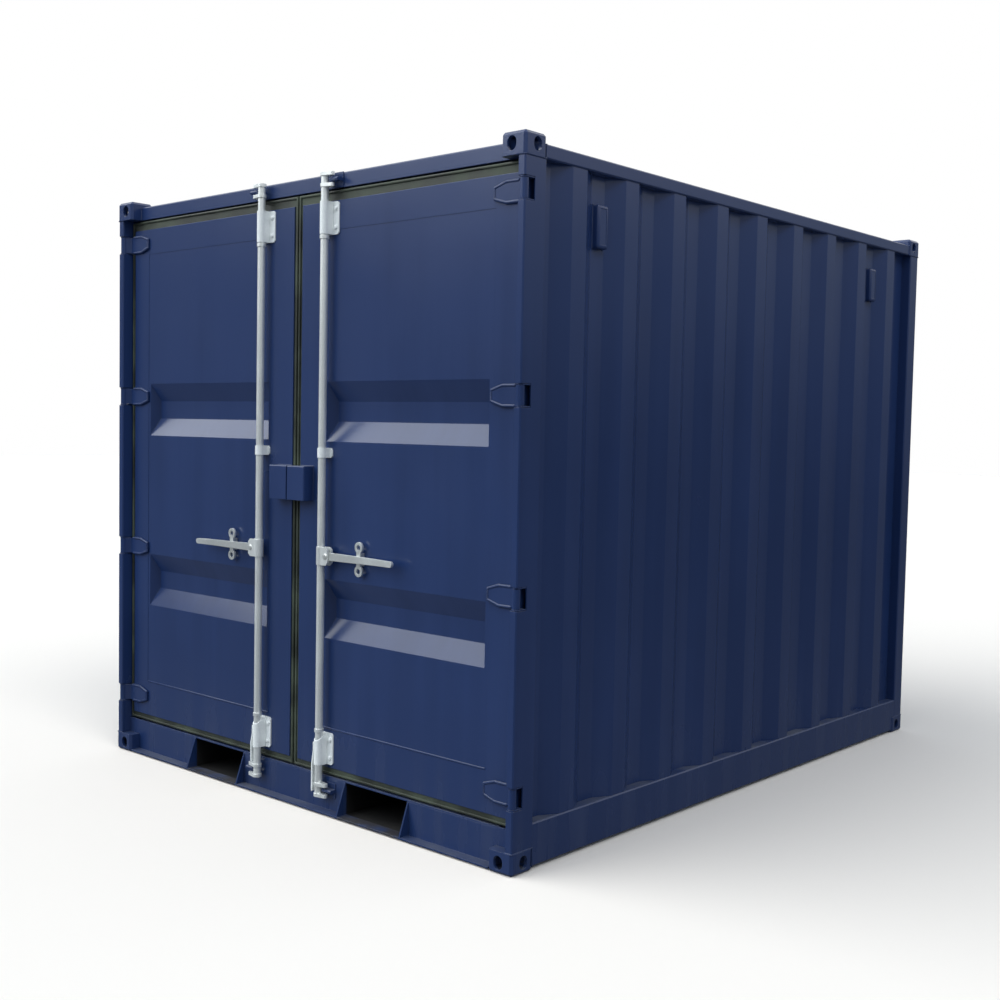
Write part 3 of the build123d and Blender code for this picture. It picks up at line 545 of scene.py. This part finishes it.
def round_edges(piece, width, segments):
    """Rounds every sharp edge of the active piece."""
    rounding = piece.modifiers.new("rounding", "BEVEL")
    rounding.width = width
    rounding.segments = segments
    rounding.limit_method = "ANGLE"
    bpy.ops.object.modifier_apply(modifier="rounding")


print("tools ready")

# %% [markdown]
# ## Bulbs on the door seals
# A container seal isn't a flat lip: a soft round bulb runs round the leaf near its rim, and it is the bulb
# that closes the gap to the frame. Its upper half catches the sky while its lower half stays dark, which
# draws the thin double line round a shut door. It could be a tube swept along a path, but an inset gives
# mitred corners for free: a sheet as large as the seal, inset by the bulb's width, its middle deleted, the
# rest pushed forward and its edges rounded.

# %% Model the seal bulbs
BULB_WIDTH, BULB_ROUND = 0.0090, 0.0040
BULB_RISE, BULB_SUNK = 0.0060, 0.0020
RIM = 0.0006


def seal_bulb(side):
    """The round bulb on the front lip of one leaf's seal."""
    low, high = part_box(f"door_gasket_{side}")
    middle = (low + high) / 2
    back = (middle.x, low.y + BULB_SUNK, middle.z)
    clear_bench()
    bpy.ops.mesh.primitive_plane_add(size=1, rotation=(math.pi / 2, 0, 0), location=back)
    bulb = bpy.context.object
    bulb.scale = (high.x - low.x - 2 * RIM, high.z - low.z - 2 * RIM, 1)
    settle()
    pick_faces(bulb, lambda face: True)
    bpy.ops.mesh.inset(thickness=BULB_WIDTH)
    bpy.ops.mesh.delete(type="FACE")
    bpy.ops.mesh.select_all(action="SELECT")
    push(0, -BULB_RISE - BULB_SUNK, 0)
    bpy.ops.mesh.select_all(action="SELECT")
    bpy.ops.mesh.normals_make_consistent(inside=False)
    bpy.ops.object.mode_set(mode="OBJECT")
    round_edges(bulb, width=BULB_ROUND, segments=4)
    return bulb


for side, _ in SIDES:
    hand_over(seal_bulb(side), f"seal_bulb_{side}", f"door_{side}", rubber)

# %% [markdown]
# ## Bolts of the lock gear
# Each bracket plate is held by four round-headed bolts, two on each side of its saddle, so that a bent lock
# rod can be changed. A bolt is a thin washer with a domed head. It starts as a flat disc; its top is inset
# and pushed up for the head, then inset and lifted twice for the dome.

# %% Model a bolt


def round_head_bolt(radius, washer, head):
    """A domed bolt head on its washer, standing on Z = 0."""
    step = radius * 0.22
    clear_bench()
    bpy.ops.mesh.primitive_cylinder_add(vertices=16, radius=radius, depth=washer, location=(0, 0, washer / 2))
    made = bpy.context.object
    settle()
    pick_faces(made, lambda face: face.normal.z > 0.9)
    bpy.ops.mesh.inset(thickness=step)
    push(0, 0, head * 0.55)
    for share in (0.30, 0.15):
        bpy.ops.mesh.inset(thickness=step)
        bpy.ops.transform.translate(value=(0, 0, head * share))
    bpy.ops.object.mode_set(mode="OBJECT")
    return made


bolt = round_head_bolt(radius=0.0095, washer=0.0018, head=0.0045)
print("a bolt of", len(bolt.data.polygons), "faces")

# %% [markdown]
# The brackets that carry bolts are the one at the top of the leaf and the one near its foot. Where the rod
# runs is known from its joint, and the plates' ends from the boxes of the CAD nodes.

# %% Set the bolts on the brackets
FRONTWARD = Matrix.Rotation(math.pi / 2, 4, "X")
BRACKET_HEIGHT, BRACKET_THICK, BRACKET_RISE = 0.113, 0.005, 0.012
BOLT_OFF_ROD, BOLT_FROM_END = 0.0315, 0.024

joint_at = {joint["name"]: joint["pos_m"] for joint in frame["joints"]}
for side, _ in SIDES:
    rod_x = joint_at[f"rod_{side}_turn"][0]
    leaf_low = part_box(f"door_frame_{side}")[0]
    tops = (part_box(f"rod_brackets_{side}")[1].z, leaf_low.z + BRACKET_RISE + BRACKET_HEIGHT)
    heights = [top - drop for top in tops for drop in (BOLT_FROM_END, BRACKET_HEIGHT - BOLT_FROM_END)]
    spots = [
        Matrix.Translation((rod_x + off, leaf_low.y - BRACKET_THICK, z)) @ FRONTWARD
        for z in heights for off in (-BOLT_OFF_ROD, BOLT_OFF_ROD)
    ]
    hand_over(copies(bolt, spots), f"bracket_bolts_{side}", f"door_{side}", plate_zinc)
put_away(bolt)

# %% [markdown]
# ## Pivots of the handles
# A handle turns up on a pin through the fork of its rod's hub. In front the pin has a low riveted head,
# because the handle's fork is almost flush with the corner castings; at the back it has room for a thicker
# one. Both belong to the rod, since the handle turns on them.

# %% Model the pivot heads
BACKWARD = Matrix.Rotation(-math.pi / 2, 4, "X")
FORK_HALF = 0.013

front_head = round_head_bolt(radius=0.0110, washer=0.0010, head=0.0024)
back_head = round_head_bolt(radius=0.0110, washer=0.0015, head=0.0040)
for side, _ in SIDES:
    x, y, z = joint_at[f"handle_{side}_lift"]
    front = own_copy(front_head, Matrix.Translation((x, y - FORK_HALF, z)) @ FRONTWARD)
    back = own_copy(back_head, Matrix.Translation((x, y + FORK_HALF, z)) @ BACKWARD)
    hand_over(joined([front, back]), f"pivot_heads_{side}", f"rod_{side}", handle_zinc)
put_away(front_head)
put_away(back_head)

# %% [markdown]
# ## Thrust plates in the hinges
# Above and below each hinge blade a thick plate on the pin takes up the running gap to the post's lug, so
# that the leaf's weight never rests on paint. Its front is round like the knuckle and its back fills the
# cut in the post. It starts as a flat bar; the two upright front edges are picked by their place and
# rounded with a wide bevel, and both faces are inset and raised a little as bearing faces. The plates stay
# with the post, and the blade turns between them.

# %% Stack the thrust plates
HINGES = 4
BLADE_HALF, HINGE_GAP = 0.031, 0.0055
PLATE_WIDE, PLATE_LONG, PLATE_THICK = 0.0284, 0.0455, 0.0038
PLATE_ROUND = 0.46 * PLATE_WIDE
BEARING_INSET, BEARING_RISE = 0.0015, 0.0005

blades_low, blades_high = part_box("hinge_blades_right")
hinge_low, hinge_high = blades_low.z + BLADE_HALF, blades_high.z - BLADE_HALF
hinge_heights = [hinge_low + (hinge_high - hinge_low) * i / (HINGES - 1) for i in range(HINGES)]


def thrust_plate():
    """A plate with a round front, its pin at the origin."""
    made = bar((PLATE_WIDE, PLATE_LONG, PLATE_THICK), (0, PLATE_LONG / 2 - PLATE_WIDE / 2, 0))
    pick_edges(made, lambda a, b: a.y < 0 and b.y < 0 and abs(a.z - b.z) > PLATE_THICK / 2)
    bpy.ops.mesh.bevel(offset=PLATE_ROUND, segments=6, affect="EDGES")
    bpy.ops.object.mode_set(mode="OBJECT")
    for way in (-1, 1):
        pick_faces(made, lambda face: face.normal.z * way > 0.9)
        bpy.ops.mesh.inset(thickness=BEARING_INSET)
        push(0, 0, way * BEARING_RISE)
        bpy.ops.object.mode_set(mode="OBJECT")
    return made


plate = thrust_plate()
off_blade = BLADE_HALF + HINGE_GAP / 2
spots = [
    Matrix.Translation((x, y, z + way * off_blade))
    for x, y, _ in (joint_at[f"door_{side}_swing"] for side, _ in SIDES)
    for z in hinge_heights for way in (-1, 1)
]
hand_over(copies(plate, spots), "thrust_plates", "container", frame_paint)
put_away(plate)

# %% [markdown]
# ## Weld beads
# Almost everything on a container is welded, and the beads show as thin rippled lines that catch the light:
# along the hinge blades, round the lock box and where posts and rails meet the castings. A bead is a row of
# overlapping ripples. One ripple is a small ball, squashed and tipped over; an Array modifier lays a row of
# them along each run. A ripple has only forty faces, since there are thousands of them.

# %% Lay a weld bead
FILLET, SEAM = 0.0060, 0.0026
RIPPLE_SQUASH, RIPPLE_TIP = 0.90, math.radians(24)
RIPPLE_STEP = 0.85


def weld_ripple(radius):
    """One ripple of a bead: a ball squashed along the run and tipped over the one before."""
    clear_bench()
    bpy.ops.mesh.primitive_uv_sphere_add(segments=8, ring_count=5, radius=radius)
    ripple = bpy.context.object
    bpy.ops.object.mode_set(mode="EDIT")
    bpy.ops.mesh.select_all(action="SELECT")
    bpy.ops.transform.resize(value=(RIPPLE_SQUASH, 1, 1))
    bpy.ops.transform.rotate(value=RIPPLE_TIP, orient_axis="Y", center_override=(0, 0, 0))
    bpy.ops.object.mode_set(mode="OBJECT")
    return ripple


def weld_run(ripple, start, end):
    """A row of ripples from start to end."""
    run = Vector(end) - Vector(start)
    count = max(2, round(run.length / (RIPPLE_STEP * ripple.dimensions.y / 2)) + 1)
    clear_bench()
    row = own_copy(ripple, Matrix.Translation(start) @ run.to_track_quat("X", "Z").to_matrix().to_4x4())
    bpy.context.view_layer.objects.active = row
    array = row.modifiers.new("row", "ARRAY")
    array.count = count
    array.use_relative_offset = False
    array.use_constant_offset = True
    array.constant_offset_displace = (run.length / (count - 1), 0, 0)
    bpy.ops.object.modifier_apply(modifier="row")
    return row


def weld_path(ripple, points):
    """Rows of ripples from each point to the next."""
    return [weld_run(ripple, start, end) for start, end in zip(points, points[1:])]


fillet = weld_ripple(FILLET)
seam = weld_ripple(SEAM)
print("ripples of", len(fillet.data.polygons), "faces")

# %% [markdown]
# On a leaf, each hinge blade is welded all round its tapered end with a fat bead as high as the blade is
# thick, and the half of the lock box on three sides with a thin one. The outlines are drawn on the right
# leaf and mirrored for the left one; only the two halves of the lock box differ in width.

# %% Weld the leaves
BEAD_SHORT = 0.002
TIP_HALF, TAPER = 0.017, 0.046
FILLET_RISE, SEAM_RISE = 0.0050, 0.0002
BOX_INNER, BOX_RETURN = 0.027, 0.012

leaf_low, leaf_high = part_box("door_frame_right")
blade_end, leaf_edge = blades_low.x, leaf_high.x - BEAD_SHORT


def blade_outline(z):
    """X and Z of the weld round the end of the hinge blade at height z."""
    upper = [(leaf_edge, BLADE_HALF), (blade_end + TAPER, BLADE_HALF), (blade_end, TIP_HALF)]
    return [(x, z + half) for x, half in upper] + [(x, z - half) for x, half in reversed(upper)]


def box_outline(side):
    """X and Z of the weld round three sides of one half of the lock box."""
    low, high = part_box(f"lock_box_{side}")
    outer = max(-low.x, high.x)
    return [(BOX_INNER, high.z), (outer, high.z), (outer, low.z), (outer - BOX_RETURN, low.z)]


def leaf_welds(side, sign):
    """All weld beads on the front of one leaf."""
    rows = []
    for hinge in hinge_heights:
        rows += weld_path(fillet, [(sign * x, leaf_low.y - FILLET_RISE, z) for x, z in blade_outline(hinge)])
    return rows + weld_path(seam, [(sign * x, leaf_low.y - SEAM_RISE, z) for x, z in box_outline(side)])


for side, sign in SIDES:
    hand_over(joined(leaf_welds(side, sign)), f"leaf_welds_{side}", f"door_{side}", frame_paint)

# %% [markdown]
# Along its lower edge the door sheet ends in a thin rounded drip strip, which throws rain clear of the
# joint and shows as one fine bright line. It is a bar with all its edges rounded by a Bevel modifier.

# %% Fix the drip strips
STRIP_HIGH, STRIP_DEEP, STRIP_ROUND = 0.0070, 0.0060, 0.0026
STRIP_SHORT = 0.004


def drip_strip(side):
    """The rounded strip along the lower edge of one door sheet."""
    low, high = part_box(f"door_panel_{side}")
    size = (high.x - low.x - STRIP_SHORT, STRIP_DEEP, STRIP_HIGH)
    strip = bar(size, ((low.x + high.x) / 2, low.y, low.z))
    round_edges(strip, width=STRIP_ROUND, segments=3)
    return strip


for side, _ in SIDES:
    hand_over(drip_strip(side), f"drip_strip_{side}", f"door_{side}", frame_paint)

# %% [markdown]
# On the frame, posts and rails stand three millimetres inside the faces of the castings, and the bead fills
# that step. Runs are listed for the right side and repeated on the left. The vents are bedded in a bead of
# sealant that is painted over.

# %% Weld the frame and bed the vents
SEAM_SUNK = 0.0002
POST_INNER = 1.068
VENT_HALF, VENT_BED = 0.028, 0.0242

post_low, post_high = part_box("front_post_right")
rear_low, rear_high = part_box("rear_post_right")
rail_low, rail_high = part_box("top_rail_right")
header_low, header_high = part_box("door_header")
back_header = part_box("rear_header")[1]
hood_low, hood_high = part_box("vent_hoods")
rail_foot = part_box("bottom_rail_right")[0].z + BEAD_SHORT
side_x, front_y, rear_y = post_high.x - SEAM_SUNK, post_low.y + SEAM_SUNK, rear_high.y - SEAM_SUNK
foot_z, top_z, casting_x = post_low.z, post_high.z, back_header.x
vent_y, bed_x = hood_high.y - VENT_HALF, hood_high.x - VENT_BED

frame_runs = []
for z in (top_z, foot_z):
    frame_runs += [
        [(POST_INNER, front_y, z), (side_x, front_y, z), (side_x, rail_low.y, z)],
        [(rear_low.x + BEAD_SHORT, rear_y, z), (side_x, rear_y, z), (side_x, rear_low.y + BEAD_SHORT, z)],
    ]
for y in (rail_low.y, rail_high.y):
    over = rail_low.x + BEAD_SHORT
    frame_runs += [
        [(side_x, y, top_z), (side_x, y, rail_high.z - BEAD_SHORT), (over, y, rail_high.z)],
        [(side_x, y, rail_foot), (side_x, y, foot_z)],
    ]
for y, header_top in ((header_low.y, header_high.z), (back_header.y, back_header.z)):
    frame_runs.append([(casting_x, y, top_z + BEAD_SHORT), (casting_x, y, header_top - BEAD_SHORT)])
for y in (-vent_y, vent_y):
    frame_runs.append([
        (bed_x, y - VENT_HALF, hood_low.z), (bed_x, y - VENT_HALF, hood_high.z),
        (bed_x, y + VENT_HALF, hood_high.z), (bed_x, y + VENT_HALF, hood_low.z),
    ])
rows = []
for _, sign in SIDES:
    for run in frame_runs:
        rows += weld_path(seam, [(sign * x, y, z) for x, y, z in run])
hand_over(joined(rows), "frame_welds", "container", frame_paint)
put_away(fillet)
put_away(seam)

# %% [markdown]
# ## Covers of the vents
# Each vent is a small hood with round shoulders, open underneath so that rain stays out. The CAD hood is
# folded from flat plates, so a rounder one takes its place here. It starts as a bar; every edge that shows
# is picked by its place and rounded with a bevel, the front is inset and sunk a little, and the underside
# is inset and pushed up to make it hollow.

# %% Model the vent covers
COVER_WIDE, COVER_DEEP, COVER_ROUND = 2 * VENT_HALF, 0.0255, 0.009
COVER_WALL, COVER_HOLLOW, COVER_PANEL = 0.003, 0.100, 0.0010


def vent_cover(outer, low, high):
    """A hood on the right-hand wall at Y = 0, its front at X = outer."""
    middle = (outer - COVER_DEEP / 2, 0, (low + high) / 2)
    made = bar((COVER_DEEP, COVER_WIDE, high - low), middle)
    pick_edges(made, lambda a, b: max(a.x, b.x) > outer - COVER_DEEP / 2)
    bpy.ops.mesh.bevel(offset=COVER_ROUND, segments=5, affect="EDGES")
    bpy.ops.object.mode_set(mode="OBJECT")
    pick_faces(made, lambda face: face.normal.x > 0.99 and face.area > COVER_WIDE * COVER_WIDE)
    bpy.ops.mesh.inset(thickness=COVER_WALL)
    push(-COVER_PANEL, 0, 0)
    bpy.ops.object.mode_set(mode="OBJECT")
    pick_faces(made, lambda face: face.normal.z < -0.99 and face.center.z < low + COVER_WALL)
    bpy.ops.mesh.inset(thickness=COVER_WALL)
    push(0, 0, COVER_HOLLOW)
    bpy.ops.object.mode_set(mode="OBJECT")
    return made


cover = vent_cover(hood_high.x, hood_low.z, hood_high.z)
spots = [
    Matrix.Rotation(turn, 4, "Z") @ Matrix.Translation((0, y, 0))
    for turn in (0, math.pi) for y in (-vent_y, vent_y)
]
covers = copies(cover, spots)
hand_over(covers, "vent_covers", "container", frame_paint)
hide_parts("vent_hoods")
put_away(cover)

# %% [markdown]
# ## Screws in the floor
# The floor boards are held to every bearer by a row of countersunk screws. A screw's head is a disc with a
# driver's recess: its top is inset and lifted to a low crown, then inset again and pushed down.

# %% Drive the floor screws
BEARERS, BEARER_HALF = 6, 0.0225
SCREWS_ACROSS, SCREW_PITCH = 9, 0.25
SCREW_RADIUS, SCREW_DEEP, SCREW_SUNK = 0.0065, 0.0030, 0.0009
CROWN_INSET, CROWN_RISE = 0.0008, 0.0002
RECESS_INSET, RECESS_DEEP = 0.0026, 0.0018


def countersunk_screw():
    """A flat screw head with a recess, just proud of Z = 0."""
    middle = (0, 0, -SCREW_SUNK)
    clear_bench()
    bpy.ops.mesh.primitive_cylinder_add(vertices=12, radius=SCREW_RADIUS, depth=SCREW_DEEP, location=middle)
    made = bpy.context.object
    settle()
    pick_faces(made, lambda face: face.normal.z > 0.9)
    bpy.ops.mesh.inset(thickness=CROWN_INSET)
    bpy.ops.transform.translate(value=(0, 0, CROWN_RISE))
    bpy.ops.mesh.inset(thickness=RECESS_INSET)
    push(0, 0, -RECESS_DEEP)
    bpy.ops.object.mode_set(mode="OBJECT")
    return made


screw = countersunk_screw()
bearer_low, bearer_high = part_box("floor_bearers")
deck_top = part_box("floor_deck")[1].z
first, last = bearer_low.y + BEARER_HALF, bearer_high.y - BEARER_HALF
rows_y = [first + (last - first) * i / (BEARERS - 1) for i in range(BEARERS)]
columns_x = [(i - (SCREWS_ACROSS - 1) / 2) * SCREW_PITCH for i in range(SCREWS_ACROSS)]
spots = [Matrix.Translation((x, y, deck_top)) for y in rows_y for x in columns_x]
hand_over(copies(screw, spots), "floor_screws", "container", plate_zinc)
put_away(screw)

# %% [markdown]
# ## Floor, sky and lamps
# The floor is a plain pale sheet, and the sky behind it is white to the camera and to reflections. Light
# comes from a very wide lamp high on the left, like a thin bright cloud, and a weaker, smaller one high on
# the right that draws the shadow of the top rail on the long wall. Glossy dark paint shows whatever stands
# round it, so, as a studio does, a dark card stands round the set: only reflections see it. It keeps the
# upright steel deep, while slopes that face upwards mirror the sky. On the right the card grows paler with
# height, as a sky does above trees, and lifts the upper part of the long wall.

# %% Set the stage
FLOOR_SIZE = 80.0
FLOOR_SEEN = colour(0.97, 0.89, 0.80)
FLOOR_BOUNCE = colour(0.22, 0.22, 0.22)
CARD_RADIUS, CARD_HEIGHT, CARD_LIFT = 9.0, 4.1, 0.004
CARD_DARK = colour(0.085, 0.093, 0.100)
CARD_PALE = colour(0.270, 0.300, 0.320)
PALER_ABOVE, PALEST_ABOVE = 1.2, 3.6
PALER_PAST_X, PALEST_PAST_X = -1.0, 4.0


def seen_rays(wire):
    """1 for rays that show the background: from the camera, in a reflection or through glass."""
    camera_ray, glossy, through = (
        wire.node("ShaderNodeLightPath", output=name)
        for name in ("Is Camera Ray", "Is Glossy Ray", "Is Transmission Ray")
    )
    return soft_step(camera_ray + glossy + through, 0.0, 1.0)


def stage_floor():
    """A pale floor that looks white to the camera and throws less light back than it shows."""
    bpy.ops.mesh.primitive_plane_add(size=FLOOR_SIZE, location=(0, 0, 0))
    floor = bpy.context.object
    floor.name = "floor"
    material, shader, wire = new_finish("pale_floor")
    wire.feed(shader.inputs["Base Color"], blend(seen_rays(wire), FLOOR_BOUNCE, FLOOR_SEEN))
    shader.inputs["Roughness"].default_value = 0.9
    shader.inputs["Specular IOR Level"].default_value = 0.0
    floor.data.materials.append(material)


def dark_card():
    """A low dark ring with a dark bottom that only reflections see."""
    middle = (0, 0, CARD_HEIGHT / 2 + CARD_LIFT)
    bpy.ops.mesh.primitive_cylinder_add(vertices=96, radius=CARD_RADIUS, depth=CARD_HEIGHT, location=middle)
    card = bpy.context.object
    card.name = "dark_card"
    pick_faces(card, lambda face: face.normal.z > 0.5)
    bpy.ops.mesh.delete(type="ONLY_FACE")
    bpy.ops.object.mode_set(mode="OBJECT")
    material, shader, wire = new_finish("dark_card")
    shader.inputs["Base Color"].default_value = colour(0, 0, 0)
    aside = component(place(wire), "X")
    height = component(place(wire), "Z") + CARD_HEIGHT / 2
    paler = soft_step(height, PALER_ABOVE, PALEST_ABOVE) * soft_step(aside, PALER_PAST_X, PALEST_PAST_X)
    wire.feed(shader.inputs["Emission Color"], blend(paler, CARD_DARK, CARD_PALE))
    shader.inputs["Emission Strength"].default_value = 1.0
    card.data.materials.append(material)
    for ray in ("camera", "diffuse", "transmission", "volume_scatter", "shadow"):
        setattr(card, f"visible_{ray}", False)


clear_bench()
stage_floor()
clear_bench()
dark_card()
print("stage:", FLOOR_SIZE, "m floor and a dark card", CARD_HEIGHT, "m high")

# %% Hang the lamps
SKY_FILL = 0.50
SKY_COOL = colour(0.80, 0.94, 1.14)
SKY_WHITE = colour(1, 1, 1)


def wide_lamp(name, towards, strength, spread, tint):
    """A far lamp as wide as `spread` degrees, standing in the direction `towards` from the object."""
    lamp = bpy.data.lights.new(name, "SUN")
    lamp.energy = strength
    lamp.angle = math.radians(spread)
    lamp.color = tint
    holder = bpy.data.objects.new(name, lamp)
    holder.rotation_euler = Vector(towards).to_track_quat("Z", "Y").to_euler()
    bpy.context.scene.collection.objects.link(holder)


def white_sky():
    """A world that is white where it is seen and a soft, slightly cool fill where it lights."""
    world = bpy.data.worlds.new("white_sky")
    bpy.context.scene.world = world
    world.use_nodes = True
    wire = Wire(world.node_tree)
    background = world.node_tree.nodes["Background"]
    seen = seen_rays(wire)
    wire.feed(background.inputs["Color"], blend(seen, SKY_COOL, SKY_WHITE))
    wire.feed(background.inputs["Strength"], SKY_FILL + seen * (1 - SKY_FILL))


wide_lamp("key_cloud", towards=(-0.52, -0.61, 0.60), strength=2.7, spread=70.0, tint=(0.92, 0.97, 1.0))
wide_lamp("side_cloud", towards=(0.62, -0.20, 0.76), strength=0.8, spread=25.0, tint=(0.95, 0.98, 1.0))
white_sky()
